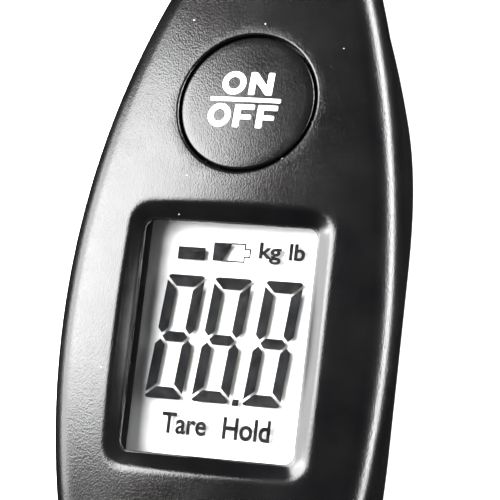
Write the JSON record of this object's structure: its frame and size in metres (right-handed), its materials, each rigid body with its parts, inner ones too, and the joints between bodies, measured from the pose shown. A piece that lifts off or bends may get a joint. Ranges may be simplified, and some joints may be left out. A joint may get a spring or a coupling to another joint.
{
  "type": "digital luggage scale",
  "caption": "Hand-held hanging luggage scale with a segment display, a push button, a steel hook and a webbing hand loop.",
  "frame": {"origin": "middle of the flat back, on the surface that the scale lies on, under the middle of the display", "axes": "+Z out of the display face, +Y along the body from the hook end to the hand loop end, +X to the right of the display"},
  "size_m": [0.042, 0.3287, 0.0268],
  "materials": {
    "case_plastic": "satin, fine spark-eroded grain",
    "button_plastic": "satin, fine spark-eroded grain",
    "unit_button_plastic": "satin grey",
    "clear_window": "clear polished acrylic",
    "lcd_film": "satin film",
    "lcd_glass": "clear",
    "lcd_reflector": "white satin film",
    "inner_plastic": "matte",
    "elastomer": "matte",
    "board": "satin solder mask",
    "chip_epoxy": "matte epoxy",
    "passives": "ceramic",
    "switch_plunger": "matte",
    "load_cell_aluminium": "milled",
    "gauge_foil": "polyimide film",
    "wire_skin": "satin",
    "bolt_steel": "brushed zinc plate",
    "ring_steel": "polished nickel plate",
    "hook_steel": "polished nickel plate",
    "webbing": "woven nylon",
    "bright_steel": "bright nickel",
    "contact_metal": "nickel plated spring strip",
    "screw_steel": "black zinc"
  },
  "bodies": {
    "case": {"front_cover": "case_plastic", "rear_cover": "case_plastic", "display_window": "clear_window", "lcd_polarizer": "lcd_film", "lcd_glass": "lcd_glass", "lcd_reflector": "lcd_reflector", "lcd_frame": "inner_plastic", "zebra_strips": "elastomer", "circuit_board": "board", "controller_chip": "chip_epoxy", "amplifier_chip": "chip_epoxy", "board_passives": "passives", "crystal_can": "bright_steel", "power_switch": "inner_plastic", "unit_switch": "inner_plastic", "load_cell": "load_cell_aluminium", "strain_gauges": "gauge_foil", "gauge_wires": "wire_skin", "load_cell_screws": "bright_steel", "upper_eye_bolt": "bolt_steel", "lower_eye_bolt": "bolt_steel", "lock_nuts": "bolt_steel", "battery_cell": "bright_steel", "positive_contact": "contact_metal", "negative_contact": "contact_metal", "battery_leads": "wire_skin", "case_screws": "screw_steel", "board_screws": "screw_steel"},
    "power_button": {"power_button": "button_plastic", "power_switch_plunger": "switch_plunger"},
    "unit_button": {"unit_button": "unit_button_plastic", "unit_switch_plunger": "switch_plunger"},
    "battery_door": {"battery_door": "case_plastic"},
    "strap_ring": {"strap_ring": "ring_steel", "hand_loop": "webbing"},
    "hook": {"hook": "hook_steel"}
  },
  "joints": [
    {"name": "power_button_press", "type": "slide", "parent": "case", "child": "power_button", "axis": [0, 0, -1], "range_m": [0, 0.00035], "stiffness_N_per_m": 5000},
    {"name": "unit_button_press", "type": "slide", "parent": "case", "child": "unit_button", "axis": [0, 0, 1], "range_m": [0, 0.0003], "stiffness_N_per_m": 5000},
    {"name": "battery_door_turn", "type": "hinge", "parent": "case", "child": "battery_door", "pos_m": [0, 0, 0.001], "axis": [0, 0, -1], "range_deg": [0, 60]},
    {"name": "strap_ring_swing", "type": "hinge", "parent": "case", "child": "strap_ring", "pos_m": [0, 0.066, 0.0095], "axis": [1, 0, 0], "range_deg": [-63.6, 116.4]},
    {"name": "hook_swing", "type": "hinge", "parent": "case", "child": "hook", "pos_m": [0, -0.066, 0.0095], "axis": [1, 0, 0], "range_deg": [-97.6, 82.4]}
  ]
}
